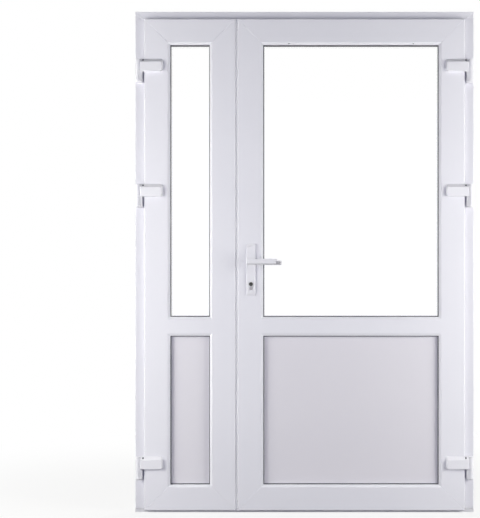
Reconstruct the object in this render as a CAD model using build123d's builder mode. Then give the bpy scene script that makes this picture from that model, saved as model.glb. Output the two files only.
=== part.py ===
from build123d import *
import os
from math import sqrt

# Outside sizes of the frame. X runs across, Y to the back, Z up.
# The origin lies under the middle of the threshold, at mid depth of the frame.
WIDTH = 1400
HEIGHT = 2070

# Frame profile: an L with a front face and a stop at the back of the rebate
FRAME_FACE = 48
STOP_HEIGHT = 20
STOP_THICK = 17
FRAME_EDGE_R = 2
THRESHOLD_HEIGHT = 17
THRESHOLD_STOP = 21
THRESHOLD_GROOVE = 2
THRESHOLD_GROOVE_DEPTH = 6
FIXING_R = 5.25
FIXING_END = 202.5
FIXING_COUNT = 4

# Leaf profile: a flange over the frame, a body in the rebate and a lip over the glass
LEAF_DEPTH = 70
LEAF_FACE = 106
FLANGE_THICK = 17
FLANGE_REACH = 20
LEAF_EDGE_R = 4
LIP_REACH = 20
LIP_THICK = 15
BEVEL_WIDTH = 10
BEVEL_DROP = 5
WELD_GROOVE = 1

# Where the leaves stand in the frame
SIDE_MARGIN = 40
TOP_MARGIN = 34
LEAF_CLEAR = 10
MEETING_X = -280
MEETING_GAP = 7.5
REBATE_GAP = 5
MID_RAIL_Z = 730
MID_RAIL_HEIGHT = 78

# Glazing: double panes above, a foam panel below, held by beads at the back
PANE = 4
UNIT_THICK = 24
EDGE_COVER = 14
SPACER_INSET = 3
SPACER_WIDTH = 8
GASKET_THICK = 3
GASKET_COVER = 8
GASKET_SHOW = 4
REAR_GASKET_SHOW = 1
BEAD_REACH = 18
BEAD_SLOPE = 8
BEAD_DROP = 11
BEAD_SETBACK = 1
BEAD_GAP = 0.2
VENT_R = 3
VENT_FROM_MEETING = 212
VENT_PITCH = 513
VENT_COUNT = 2

# Rebate seals
SEAL_WIDTH = 5
SEAL_HEIGHT = 3.5
SEAL_INSET = 1.5
SEAL_END = 8

# Meeting edges: the astragal stands on the left leaf, the lock edge on the right leaf
ASTRAGAL_STEP = 6.25
LOCK_EDGE_STEP = 1.75
MEETING_SEAL_THICK = 5
MEETING_SEAL_GAP = 2
MEETING_SEAL_RECESS = 4

# Hinges: the leaf's cover carries the upper barrel, the frame knuckle the lower one
HINGE_OUT = 25.5
HINGE_STAND = 12
BARREL_R = 10.5
BARREL_HEIGHT = 49
COVER_HEIGHT = 52
COVER_SLOPE = 14
COVER_DRAFT = 3
COVER_REACH = 77
COVER_CORNER_R = 9
COVER_EDGE_R = 2.5
COVER_LAP = 1.5
KNUCKLE_HEIGHT = 44
KNUCKLE_FOOT = 17.5
KNUCKLE_FOOT_DEPTH = 24
KNUCKLE_EDGE_R = 4
PIN_R = 5
PIN_LENGTH = 36
PIN_CLEAR = 0.05
BARREL_GAP = 0.3
BORE_DEPTH = 39
ADJUSTER_R = 2.8
ADJUSTER_DEPTH = 12
ADJUSTER_OUT = 4
ADJUSTER_STAND = 6
HINGE_Z = (182, 1304, 1819)

# Lock and lever set
HANDLE_SETBACK = 56
LEVER_Z = 1035
CYLINDER_DROP = 92
PLATE_WIDTH = 36
PLATE_HEIGHT = 214
PLATE_ABOVE = 75
PLATE_THICK = 6
PLATE_CORNER = 3
PLATE_BEVEL = 1.5
FACET_START = 4
FACET_RISE = 14
FACET_FLATNESS = 4
NECK_R = 9.5
NECK_CLEAR = 0.05
NECK_SEAT = 4
GRIP_GAP = 42
GRIP_THICK = 11
GRIP_HEIGHT = 24
GRIP_BACK = 11
GRIP_REACH = 123
UNDERCUT = 5
UNDERCUT_DEPTH = 9.5
TIP_LENGTH = 19
TIP_RETURN = 30
TIP_STEP = 7
TIP_LAND = 2.5
TIP_CHAMFER = 1
GRIP_CORNER_R = 3
SPINDLE = 8
SPINDLE_HOLE_R = 11
CYLINDER_R = 8.5
CYLINDER_WEB = 10
CYLINDER_HEIGHT = 33
CYLINDER_PROUD = 2
CYLINDER_CLEAR = 0.3
CUTOUT_CLEAR = 0.9
STRIP_WIDTH = 20
STRIP_THICK = 3
STRIP_LENGTH = 1400
BOLT_PROUD = 1.2
BOLT_WIDTH = 12
BOLT_HEIGHT = 30
KEEP_WIDTH = 18
KEEP_THICK = 2
KEEP_LENGTH = 190

# Depths, worked out from the profiles
FRAME_DEPTH = LEAF_DEPTH - FLANGE_THICK + STOP_THICK
FRAME_FRONT = -FRAME_DEPTH / 2
FRAME_REAR = FRAME_DEPTH / 2
STOP_FRONT = FRAME_REAR - STOP_THICK
FLANGE_REAR = FRAME_FRONT - REBATE_GAP
LEAF_FRONT = FLANGE_REAR - FLANGE_THICK
LEAF_REAR = LEAF_FRONT + LEAF_DEPTH
REBATE_MIDDLE = (FRAME_FRONT + STOP_FRONT) / 2
GLASS_FRONT = LEAF_FRONT + LIP_THICK + GASKET_THICK
GLASS_REAR = GLASS_FRONT + UNIT_THICK
BEAD_FRONT = GLASS_REAR + GASKET_THICK
BEAD_REAR = LEAF_REAR - BEAD_SETBACK
BODY_INNER = LEAF_FACE - LIP_REACH

# Heights and sides of the leaves, and of what stands on them
LEAF_LOW = LEAF_CLEAR
LEAF_HIGH = HEIGHT - TOP_MARGIN
LEAF_SIDE = WIDTH / 2 - SIDE_MARGIN
MID_RAIL_TOP = MID_RAIL_Z + MID_RAIL_HEIGHT
LEFT_MEETING = MEETING_X - MEETING_GAP / 2
RIGHT_MEETING = MEETING_X + MEETING_GAP / 2
HANDLE_X = RIGHT_MEETING + HANDLE_SETBACK
CYLINDER_Z = LEVER_Z - CYLINDER_DROP
ASTRAGAL_EDGE = LEFT_MEETING - ASTRAGAL_STEP
LOCK_EDGE = RIGHT_MEETING + LOCK_EDGE_STEP
HINGE_X = LEAF_SIDE + HINGE_OUT
HINGE_Y = LEAF_FRONT - HINGE_STAND + BARREL_R
STOP_SIDE = WIDTH / 2 - FRAME_FACE - STOP_HEIGHT

LEFT, RIGHT, UP, DOWN, BACK = (Vector(d) for d in ((-1, 0, 0), (1, 0, 0), (0, 0, 1), (0, 0, -1), (0, 1, 0)))
FIXING_PITCH = (HEIGHT - 2 * FIXING_END) / (FIXING_COUNT - 1)
FIXING_HEIGHTS = [FIXING_END + FIXING_PITCH * step for step in range(FIXING_COUNT)]
FIXING_LENGTH = 2 * (FRAME_FACE + STOP_HEIGHT)


def write(builder, name):
    """Label a finished piece and write its STEP file."""
    builder.part.label = name
    export_step(builder.part, f"parts/{name}.step")


def frame_outline():
    """The frame's L, from its outer front corner: across first, then deep."""
    return [
        (0, 0),
        (FRAME_FACE, 0),
        (FRAME_FACE, STOP_FRONT - FRAME_FRONT),
        (FRAME_FACE + STOP_HEIGHT, STOP_FRONT - FRAME_FRONT),
        (FRAME_FACE + STOP_HEIGHT, FRAME_DEPTH),
        (0, FRAME_DEPTH),
    ]


def leaf_outline():
    """The leaf's profile, from the outer edge of its flange inwards to the lip over the glass."""
    return [
        (0, 0),
        (LEAF_FACE - BEVEL_WIDTH, 0),
        (LEAF_FACE, BEVEL_DROP),
        (LEAF_FACE, LIP_THICK),
        (BODY_INNER, LIP_THICK),
        (BODY_INNER, LEAF_DEPTH),
        (FLANGE_REACH, LEAF_DEPTH),
        (FLANGE_REACH, FLANGE_THICK),
        (0, FLANGE_THICK),
    ]


def bead_outline():
    """A glazing bead, from the body's inner edge over the edge of the glass, sloped at the back."""
    return [
        (0, 0),
        (BEAD_REACH, 0),
        (BEAD_REACH, BEAD_REAR - BEAD_FRONT - BEAD_DROP),
        (BEAD_REACH - BEAD_SLOPE, BEAD_REAR - BEAD_FRONT),
        (0, BEAD_REAR - BEAD_FRONT),
    ]


def profile_bar(outline, corner, inward, length, mitres=(True, True), edge_r=0, end_gap=0, groove=0):
    """A length of profile from a corner, its ends mitred at 45 degrees, with a weld groove, or square."""
    section_plane = Plane(origin=corner, x_dir=inward, z_dir=inward.cross(BACK))
    along = section_plane.z_dir
    with BuildPart() as bar:
        with BuildSketch(section_plane) as section:
            with BuildLine():
                Polyline(*outline, close=True)
            make_face()
            if edge_r:
                fillet(section.vertices().group_by(Axis.X)[0].sort_by(Axis.Y)[0], radius=edge_r)
        extrude(amount=length)
        ends = [(end_gap, along), (length - end_gap, along * -1)]
        for (place, into), mitred in zip(ends, mitres):
            if mitred:
                end = Vector(corner) + along * place
                split(bisect_by=Plane(origin=end, z_dir=into - inward), keep=Keep.TOP)
            if mitred and groove:
                with BuildSketch(Plane(origin=end, x_dir=BACK, z_dir=into + inward)):
                    Rectangle(groove * sqrt(2), groove * sqrt(2), rotation=45)
                extrude(amount=length, mode=Mode.SUBTRACT)
    return bar.part


def ring_of_bars(outline, x_low, x_high, z_low, z_high, front, **ends):
    """Four mitred bars round an opening: left, top, right and bottom."""
    width = x_high - x_low
    height = z_high - z_low
    runs = [
        ((x_low, front, z_low), RIGHT, height),
        ((x_low, front, z_high), DOWN, width),
        ((x_high, front, z_high), LEFT, height),
        ((x_high, front, z_low), UP, width),
    ]
    return [profile_bar(outline, *run, **ends) for run in runs]


def block(x_span, y_span, z_span, mode=Mode.ADD):
    """A square-edged block between two limits on each axis."""
    spans = (sorted(x_span), sorted(y_span), sorted(z_span))
    with Locations(tuple(low for low, high in spans)):
        Box(*(high - low for low, high in spans), align=(Align.MIN, Align.MIN, Align.MIN), mode=mode)


def slab(opening, grow, front, rear):
    """A flat sheet over an opening, larger than it by the grow on every side."""
    x_low, x_high, z_low, z_high = opening
    block((x_low - grow, x_high + grow), (front, rear), (z_low - grow, z_high + grow))


def ring(opening, grow, shrink, front, rear):
    """A flat ring along an opening's edge, from outside the edge to inside it."""
    x_low, x_high, z_low, z_high = opening
    with BuildPart() as flat_ring:
        with BuildSketch(Plane.XZ.offset(-front)):
            with Locations(((x_low + x_high) / 2, (z_low + z_high) / 2)):
                Rectangle(x_high - x_low + 2 * grow, z_high - z_low + 2 * grow)
                Rectangle(x_high - x_low - 2 * shrink, z_high - z_low - 2 * shrink, mode=Mode.SUBTRACT)
        extrude(amount=front - rear)
    return flat_ring.part


def hinge_cover(inner_x, outer_x, foot_z):
    """A hinge's cover on the leaf's face, sloped back to the leaf at its top and at its inner end."""
    inward = -1 if inner_x < outer_x else 1
    rear_corner = (inner_x, LEAF_FRONT, foot_z + COVER_HEIGHT)
    slopes = [(0, -COVER_SLOPE, HINGE_STAND), (inward * HINGE_STAND, -COVER_DRAFT, 0)]
    with BuildPart() as cover:
        with BuildSketch(Plane.XZ.offset(-LEAF_FRONT)):
            with Locations(((inner_x + outer_x) / 2, foot_z + COVER_HEIGHT / 2)):
                Rectangle(abs(outer_x - inner_x), COVER_HEIGHT)
        extrude(amount=HINGE_STAND)
        for slope in slopes:
            split(bisect_by=Plane(origin=rear_corner, z_dir=slope), keep=Keep.BOTTOM)
        end_edges = cover.faces().sort_by(Axis.X, reverse=inward > 0)[0].edges().sort_by(Axis.Z)
        fillet([end_edges[0], end_edges[-1]], COVER_CORNER_R)
        fillet(cover.faces().sort_by(Axis.Y)[0].edges(), COVER_EDGE_R)
    return cover.part


def lock_shape(clearance):
    """The lock cylinder's profile: a round top over a narrower web with a round end."""
    web_low = CYLINDER_R + CYLINDER_WEB / 2 - CYLINDER_HEIGHT
    Circle(CYLINDER_R + clearance)
    with Locations((0, web_low / 2)):
        Rectangle(CYLINDER_WEB + 2 * clearance, -web_low)
    with Locations((0, web_low)):
        Circle(CYLINDER_WEB / 2 + clearance)


os.makedirs("parts", exist_ok=True)

# Jambs: they stand on the threshold, are mitred into the head and drilled for fixings through the rebate
JAMB_LENGTH = HEIGHT - THRESHOLD_HEIGHT
jamb_runs = {
    "left_jamb": ((-WIDTH / 2, FRAME_FRONT, THRESHOLD_HEIGHT), RIGHT, JAMB_LENGTH, (False, True)),
    "right_jamb": ((WIDTH / 2, FRAME_FRONT, HEIGHT), LEFT, JAMB_LENGTH, (True, False)),
}
for name, (corner, inward, length, mitres) in jamb_runs.items():
    jamb_run = (corner, inward, length, mitres)
    jamb_bar = profile_bar(frame_outline(), *jamb_run, edge_r=FRAME_EDGE_R, groove=WELD_GROOVE)
    with BuildPart() as jamb:
        add(jamb_bar)
        with Locations(*((corner[0], REBATE_MIDDLE, z) for z in FIXING_HEIGHTS)):
            Cylinder(FIXING_R, FIXING_LENGTH, rotation=(0, 90, 0), mode=Mode.SUBTRACT)
    write(jamb, name)

# Head of the frame
head_run = ((-WIDTH / 2, FRAME_FRONT, HEIGHT), DOWN, WIDTH)
head_bar = profile_bar(frame_outline(), *head_run, edge_r=FRAME_EDGE_R, groove=WELD_GROOVE)
with BuildPart() as head:
    add(head_bar)
write(head, "head")

# Threshold: a low sill under the jambs, with a stop behind the leaves and a groove under the jambs' faces
with BuildPart() as threshold:
    block((-WIDTH / 2, WIDTH / 2), (FRAME_FRONT, FRAME_REAR), (0, THRESHOLD_HEIGHT))
    block(
        (-STOP_SIDE, STOP_SIDE),
        (STOP_FRONT, FRAME_REAR),
        (THRESHOLD_HEIGHT, THRESHOLD_HEIGHT + THRESHOLD_STOP),
    )
    block(
        (-WIDTH / 2, WIDTH / 2),
        (FRAME_FRONT, FRAME_FRONT + THRESHOLD_GROOVE_DEPTH),
        (THRESHOLD_HEIGHT - THRESHOLD_GROOVE, THRESHOLD_HEIGHT),
        mode=Mode.SUBTRACT,
    )
write(threshold, "threshold")

# Seals on the front of the frame's stop, one along each side
with BuildPart() as frame_seals:
    seal_depth = (STOP_FRONT - SEAL_HEIGHT, STOP_FRONT)
    stop_low = THRESHOLD_HEIGHT + THRESHOLD_STOP
    stop_high = HEIGHT - FRAME_FACE - STOP_HEIGHT
    for side in (-1, 1):
        seal_sides = (side * (STOP_SIDE + SEAL_INSET), side * (STOP_SIDE + SEAL_INSET + SEAL_WIDTH))
        block(seal_sides, seal_depth, (stop_low, stop_high))
    block((-STOP_SIDE, STOP_SIDE), seal_depth, (stop_high + SEAL_INSET, stop_high + SEAL_INSET + SEAL_WIDTH))
    block((-STOP_SIDE, STOP_SIDE), seal_depth, (stop_low - SEAL_INSET - SEAL_WIDTH, stop_low - SEAL_INSET))
write(frame_seals, "frame_seals")

# Frame knuckles: a barrel with a foot on the jamb's face, and the pin that the leaf turns on
for side, name in ((-1, "left_frame_hinges"), (1, "right_frame_hinges")):
    axis_x = side * HINGE_X
    with BuildPart() as frame_hinges:
        for split_z in HINGE_Z:
            with BuildSketch(Plane.XY.offset(split_z - BARREL_GAP)):
                with Locations((axis_x, HINGE_Y)):
                    Circle(BARREL_R)
                with Locations((axis_x + side * (BARREL_R - KNUCKLE_FOOT) / 2, FRAME_FRONT)):
                    Rectangle(BARREL_R + KNUCKLE_FOOT, KNUCKLE_FOOT_DEPTH, align=(Align.CENTER, Align.MAX))
                make_hull()
            extrude(amount=-KNUCKLE_HEIGHT)
        low_edges = frame_hinges.faces().filter_by(lambda f: f.normal_at() == DOWN).edges()
        chamfer([edge for edge in low_edges if edge.center().Y != FRAME_FRONT], KNUCKLE_EDGE_R)
        for split_z in HINGE_Z:
            with Locations((axis_x, HINGE_Y, split_z - BARREL_GAP)):
                Cylinder(PIN_R, PIN_LENGTH, align=(Align.CENTER, Align.CENTER, Align.MIN))
    write(frame_hinges, name)

# Both leaves: their sides, and the names and places of what stands on them
leaves = {
    "left": (-LEAF_SIDE, LEFT_MEETING, -1),
    "right": (RIGHT_MEETING, LEAF_SIDE, 1),
}
for leaf, (x_low, x_high, side) in leaves.items():
    hinge_edge = side * LEAF_SIDE
    meeting_edge = x_high if side < 0 else x_low
    upper = (x_low + LEAF_FACE, x_high - LEAF_FACE, MID_RAIL_TOP, LEAF_HIGH - LEAF_FACE)
    lower = (x_low + LEAF_FACE, x_high - LEAF_FACE, LEAF_LOW + LEAF_FACE, MID_RAIL_Z)

    # Stiles and rails: one welded ring of profile, with the handle's and the vents' holes in the right leaf
    leaf_limits = (x_low, x_high, LEAF_LOW, LEAF_HIGH)
    bars = ring_of_bars(leaf_outline(), *leaf_limits, LEAF_FRONT, edge_r=LEAF_EDGE_R, groove=WELD_GROOVE)
    bar_names = ("hinge_stile", "top_rail", "meeting_stile", "bottom_rail")
    if side > 0:
        bar_names = ("meeting_stile", "top_rail", "hinge_stile", "bottom_rail")
    for bar, bar_name in zip(bars, bar_names):
        with BuildPart() as profile:
            add(bar)
            if side > 0 and bar_name == "meeting_stile":
                with BuildSketch(Plane.XZ.offset(-LEAF_REAR)):
                    with Locations((HANDLE_X, LEVER_Z)):
                        Circle(SPINDLE_HOLE_R)
                extrude(amount=LEAF_DEPTH, mode=Mode.SUBTRACT)
                lock_origin = (HANDLE_X, LEAF_REAR, CYLINDER_Z)
                with BuildSketch(Plane(origin=lock_origin, x_dir=RIGHT, z_dir=BACK * -1)):
                    lock_shape(CYLINDER_CLEAR)
                extrude(amount=LEAF_DEPTH, mode=Mode.SUBTRACT)
            if side > 0 and bar_name == "top_rail":
                vent_z = LEAF_HIGH - LEAF_FACE + BEVEL_WIDTH / 2
                vents = [(x_low + VENT_FROM_MEETING + VENT_PITCH * n, vent_z) for n in range(VENT_COUNT)]
                with BuildSketch(Plane.XZ.offset(-LEAF_FRONT - LIP_THICK)):
                    with Locations(*vents):
                        Circle(VENT_R)
                extrude(amount=LIP_THICK, mode=Mode.SUBTRACT)
        write(profile, f"{leaf}_{bar_name}")

    # Middle rail: lips both ways, cut to lie on the stiles' lips and butt against their bodies
    with BuildPart() as mid_rail:
        with BuildSketch(Plane.YZ.offset(x_low + BODY_INNER)):
            with BuildLine():
                Polyline(
                    (LEAF_FRONT + BEVEL_DROP, MID_RAIL_Z),
                    (LEAF_FRONT, MID_RAIL_Z + BEVEL_WIDTH),
                    (LEAF_FRONT, MID_RAIL_TOP - BEVEL_WIDTH),
                    (LEAF_FRONT + BEVEL_DROP, MID_RAIL_TOP),
                    (LEAF_FRONT + LIP_THICK, MID_RAIL_TOP),
                    (LEAF_FRONT + LIP_THICK, MID_RAIL_TOP - LIP_REACH),
                    (LEAF_REAR, MID_RAIL_TOP - LIP_REACH),
                    (LEAF_REAR, MID_RAIL_Z + LIP_REACH),
                    (LEAF_FRONT + LIP_THICK, MID_RAIL_Z + LIP_REACH),
                    (LEAF_FRONT + LIP_THICK, MID_RAIL_Z),
                    close=True,
                )
            make_face()
        extrude(amount=x_high - x_low - 2 * BODY_INNER)
        add(bars[0], mode=Mode.SUBTRACT)
        add(bars[2], mode=Mode.SUBTRACT)
    write(mid_rail, f"{leaf}_mid_rail")

    # Double glazing above: two panes and the spacer between their edges
    with BuildPart() as glass:
        slab(upper, EDGE_COVER, GLASS_FRONT, GLASS_FRONT + PANE)
        slab(upper, EDGE_COVER, GLASS_REAR - PANE, GLASS_REAR)
    write(glass, f"{leaf}_glass")
    spacer_out = EDGE_COVER - SPACER_INSET
    spacer_ring = ring(upper, spacer_out, SPACER_WIDTH - spacer_out, GLASS_FRONT + PANE, GLASS_REAR - PANE)
    with BuildPart() as spacer:
        add(spacer_ring)
    write(spacer, f"{leaf}_spacer")

    # Foam panel below
    with BuildPart() as panel:
        slab(lower, EDGE_COVER, GLASS_FRONT, GLASS_REAR)
    write(panel, f"{leaf}_panel")

    # Gaskets: a black rubber ring in front of and behind the glass and the panel
    gasket_rings = []
    for opening in (upper, lower):
        lip_rear = GLASS_FRONT - GASKET_THICK
        gasket_rings.append(ring(opening, GASKET_COVER, GASKET_SHOW, lip_rear, GLASS_FRONT))
        gasket_rings.append(ring(opening, GASKET_COVER, REAR_GASKET_SHOW, GLASS_REAR, BEAD_FRONT))
    with BuildPart() as gaskets:
        add(gasket_rings)
    write(gaskets, f"{leaf}_gaskets")

    # Glazing beads at the back, snapped in against the profile's body
    bead_bars = []
    for x_from, x_to, z_from, z_to in (upper, lower):
        bead_limits = (x_from - LIP_REACH, x_to + LIP_REACH, z_from - LIP_REACH, z_to + LIP_REACH)
        bead_bars += ring_of_bars(bead_outline(), *bead_limits, BEAD_FRONT, end_gap=BEAD_GAP)
    with BuildPart() as beads:
        add(bead_bars)
    write(beads, f"{leaf}_beads")

    # Seal on the back of the flange, along the three sides that close on the frame
    with BuildPart() as leaf_seal:
        depth = (FLANGE_REAR, FLANGE_REAR + SEAL_HEIGHT)
        near = SEAL_INSET + SEAL_WIDTH
        block(
            (hinge_edge - side * SEAL_INSET, hinge_edge - side * near),
            depth,
            (LEAF_LOW + SEAL_END, LEAF_HIGH - SEAL_END),
        )
        run = (hinge_edge - side * SEAL_END, meeting_edge + side * SEAL_END)
        block(run, depth, (LEAF_HIGH - near, LEAF_HIGH - SEAL_INSET))
        block(run, depth, (LEAF_LOW + SEAL_INSET, LEAF_LOW + near))
    write(leaf_seal, f"{leaf}_leaf_seal")

    # Hinges on the leaf: a cover on its face, and the upper barrel at the cover's outer end
    axis_x = side * HINGE_X
    cover_inner = hinge_edge - side * COVER_REACH
    cover_outer = axis_x - side * (BARREL_R - COVER_LAP)
    covers = [hinge_cover(cover_inner, cover_outer, split_z) for split_z in HINGE_Z]
    with BuildPart() as leaf_hinges:
        add(covers)
        for split_z in HINGE_Z:
            with Locations((axis_x, HINGE_Y, split_z)):
                Cylinder(BARREL_R, BARREL_HEIGHT, align=(Align.CENTER, Align.CENTER, Align.MIN))
            with Locations((axis_x, HINGE_Y, split_z)):
                Cylinder(
                    PIN_R + PIN_CLEAR,
                    BORE_DEPTH,
                    align=(Align.CENTER, Align.CENTER, Align.MIN),
                    mode=Mode.SUBTRACT,
                )
            adjuster = (hinge_edge + side * ADJUSTER_OUT, LEAF_FRONT - ADJUSTER_STAND, split_z + COVER_HEIGHT)
            with Locations(adjuster):
                Cylinder(ADJUSTER_R, 2 * ADJUSTER_DEPTH, mode=Mode.SUBTRACT)
    write(leaf_hinges, f"{leaf}_leaf_hinges")

# Heights and depth of the meeting edges' own profiles, which fill the recess behind the flanges
EDGE_HEIGHTS = (LEAF_LOW + FLANGE_REACH, LEAF_HIGH - FLANGE_REACH)
EDGE_DEPTHS = (FLANGE_REAR, LEAF_REAR)
EDGE_MIDDLE = (FLANGE_REAR + LEAF_REAR) / 2

# Astragal on the left leaf's meeting edge, and the soft seal that fills the joint between the flanges
with BuildPart() as astragal:
    block((LEFT_MEETING - FLANGE_REACH, ASTRAGAL_EDGE), EDGE_DEPTHS, EDGE_HEIGHTS)
write(astragal, "astragal")
with BuildPart() as meeting_seal:
    seal_tip = RIGHT_MEETING - MEETING_SEAL_GAP
    block((ASTRAGAL_EDGE, seal_tip), (FLANGE_REAR, FLANGE_REAR + MEETING_SEAL_THICK), EDGE_HEIGHTS)
    block((LEFT_MEETING, seal_tip), (LEAF_FRONT + MEETING_SEAL_RECESS, FLANGE_REAR), (LEAF_LOW, LEAF_HIGH))
write(meeting_seal, "meeting_seal")

# Keep plate on the astragal, opposite the bolts
with BuildPart() as keep_plate:
    keep_middle = (LEVER_Z + CYLINDER_Z) / 2
    block(
        (ASTRAGAL_EDGE, ASTRAGAL_EDGE + KEEP_THICK),
        (EDGE_MIDDLE - KEEP_WIDTH / 2, EDGE_MIDDLE + KEEP_WIDTH / 2),
        (keep_middle - KEEP_LENGTH / 2, keep_middle + KEEP_LENGTH / 2),
    )
write(keep_plate, "keep_plate")

# Lock edge on the right leaf, grooved for the lock's steel strip
STRIP_SPANS = (
    (LOCK_EDGE, LOCK_EDGE + STRIP_THICK),
    (EDGE_MIDDLE - STRIP_WIDTH / 2, EDGE_MIDDLE + STRIP_WIDTH / 2),
    (LEVER_Z - STRIP_LENGTH / 2, LEVER_Z + STRIP_LENGTH / 2),
)
with BuildPart() as lock_edge:
    block((LOCK_EDGE, RIGHT_MEETING + FLANGE_REACH), EDGE_DEPTHS, EDGE_HEIGHTS)
    block(*STRIP_SPANS, mode=Mode.SUBTRACT)
write(lock_edge, "lock_edge")
with BuildPart() as lock_strip:
    block(*STRIP_SPANS)
write(lock_strip, "lock_strip")

# Latch and dead bolt, drawn back until only their noses stand out of the strip
with BuildPart() as lock_bolts:
    for bolt_z in (LEVER_Z, CYLINDER_Z):
        block(
            (LOCK_EDGE - BOLT_PROUD, LOCK_EDGE),
            (EDGE_MIDDLE - BOLT_WIDTH / 2, EDGE_MIDDLE + BOLT_WIDTH / 2),
            (bolt_z - BOLT_HEIGHT / 2, bolt_z + BOLT_HEIGHT / 2),
        )
write(lock_bolts, "lock_bolts")

# Lock cylinder, right through the stile and both plates
with BuildPart() as lock_cylinder:
    cylinder_front = LEAF_FRONT - PLATE_THICK - CYLINDER_PROUD
    with BuildSketch(Plane(origin=(HANDLE_X, cylinder_front, CYLINDER_Z), x_dir=RIGHT, z_dir=BACK * -1)):
        lock_shape(0)
    extrude(amount=-(LEAF_DEPTH + 2 * (PLATE_THICK + CYLINDER_PROUD)))
write(lock_cylinder, "lock_cylinder")

# Handle plates, front and rear: long plates with bevelled rims and a slanted facet at each end
plate_planes = {
    "front_handle_plate": Plane(origin=(HANDLE_X, LEAF_FRONT, LEVER_Z), x_dir=RIGHT, z_dir=BACK * -1),
    "rear_handle_plate": Plane(origin=(HANDLE_X, LEAF_REAR, LEVER_Z), x_dir=LEFT, z_dir=BACK),
}
for name, plate_plane in plate_planes.items():
    with BuildPart() as plate:
        with BuildSketch(plate_plane) as plate_outline:
            with Locations((0, PLATE_ABOVE - PLATE_HEIGHT / 2)):
                Rectangle(PLATE_WIDTH, PLATE_HEIGHT)
            chamfer(plate_outline.vertices(), PLATE_CORNER)
        extrude(amount=PLATE_THICK)
        outer_face = plate.faces().sort_by(Axis(plate_plane.origin, plate_plane.z_dir))[-1]
        chamfer(outer_face.edges(), PLATE_BEVEL)
        for end in (-1, 1):
            facet_z = PLATE_ABOVE - PLATE_HEIGHT / 2 + end * (PLATE_HEIGHT / 2 - FACET_START)
            facet_corner = plate_plane.from_local_coords(Vector(end * PLATE_WIDTH / 2, facet_z, PLATE_THICK))
            facet_out = (
                plate_plane.x_dir * -end * FACET_RISE
                + plate_plane.y_dir * end * PLATE_WIDTH
                + plate_plane.z_dir * FACET_FLATNESS * PLATE_WIDTH
            )
            split(bisect_by=Plane(origin=facet_corner, z_dir=facet_out), keep=Keep.BOTTOM)
        with BuildSketch(plate_plane):
            Circle(NECK_R + NECK_CLEAR)
        extrude(amount=PLATE_THICK, mode=Mode.SUBTRACT)
        lock_origin = plate_plane.origin - UP * CYLINDER_DROP
        with BuildSketch(Plane(lock_origin, plate_plane.x_dir, plate_plane.z_dir)):
            lock_shape(CUTOUT_CLEAR)
        extrude(amount=PLATE_THICK, mode=Mode.SUBTRACT)
    write(plate, name)

# Levers: a round neck in the plate, a flat grip undercut at its lower edge and a tip that turns back
for name, face_y, out in (("front_lever", LEAF_FRONT, -1), ("rear_lever", LEAF_REAR, 1)):
    grip_inside = face_y + out * (PLATE_THICK + GRIP_GAP)
    grip_outside = grip_inside + out * GRIP_THICK
    grip_low = LEVER_Z - GRIP_HEIGHT / 2
    grip_start = HANDLE_X - GRIP_BACK
    bend_x = HANDLE_X + GRIP_REACH - TIP_LENGTH
    tip_top = LEVER_Z + GRIP_HEIGHT / 2 - TIP_STEP
    tip_inside = grip_outside - out * TIP_RETURN
    with BuildPart() as lever:
        block((grip_start, bend_x), (grip_inside, grip_outside), (grip_low, grip_low + GRIP_HEIGHT))
        fillet(lever.edges().filter_by(Axis.Z).group_by(Axis.X)[0], GRIP_CORNER_R)
        undercut_start = (bend_x, grip_outside, grip_low + UNDERCUT)
        undercut_slope = (0, out * UNDERCUT, -UNDERCUT_DEPTH)
        split(bisect_by=Plane(origin=undercut_start, z_dir=undercut_slope), keep=Keep.BOTTOM)
        with BuildSketch(Plane.YZ.offset(bend_x)):
            with BuildLine():
                Polyline(
                    (grip_outside, tip_top),
                    (grip_outside, tip_top - TIP_LAND),
                    (tip_inside, grip_low),
                    (tip_inside, tip_top),
                    close=True,
                )
            make_face()
        extrude(amount=TIP_LENGTH)
        chamfer(lever.faces().sort_by(Axis.X)[-1].edges(), TIP_CHAMFER)
        with BuildSketch(Plane.XZ.offset(-face_y - out * NECK_SEAT)):
            with Locations((HANDLE_X, LEVER_Z)):
                Circle(NECK_R)
        extrude(amount=-out * (PLATE_THICK + GRIP_GAP - NECK_SEAT))
    write(lever, name)

# Square spindle that joins the two levers through the stile
with BuildPart() as spindle:
    block(
        (HANDLE_X - SPINDLE / 2, HANDLE_X + SPINDLE / 2),
        (LEAF_FRONT - NECK_SEAT, LEAF_REAR + NECK_SEAT),
        (LEVER_Z - SPINDLE / 2, LEVER_Z + SPINDLE / 2),
    )
write(spindle, "spindle")
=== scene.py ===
"""White PVC double door: a narrow and a wide leaf, glazed over panels, on a low threshold."""
import math

import bmesh
import bpy
from mathutils import Matrix, Vector


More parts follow.
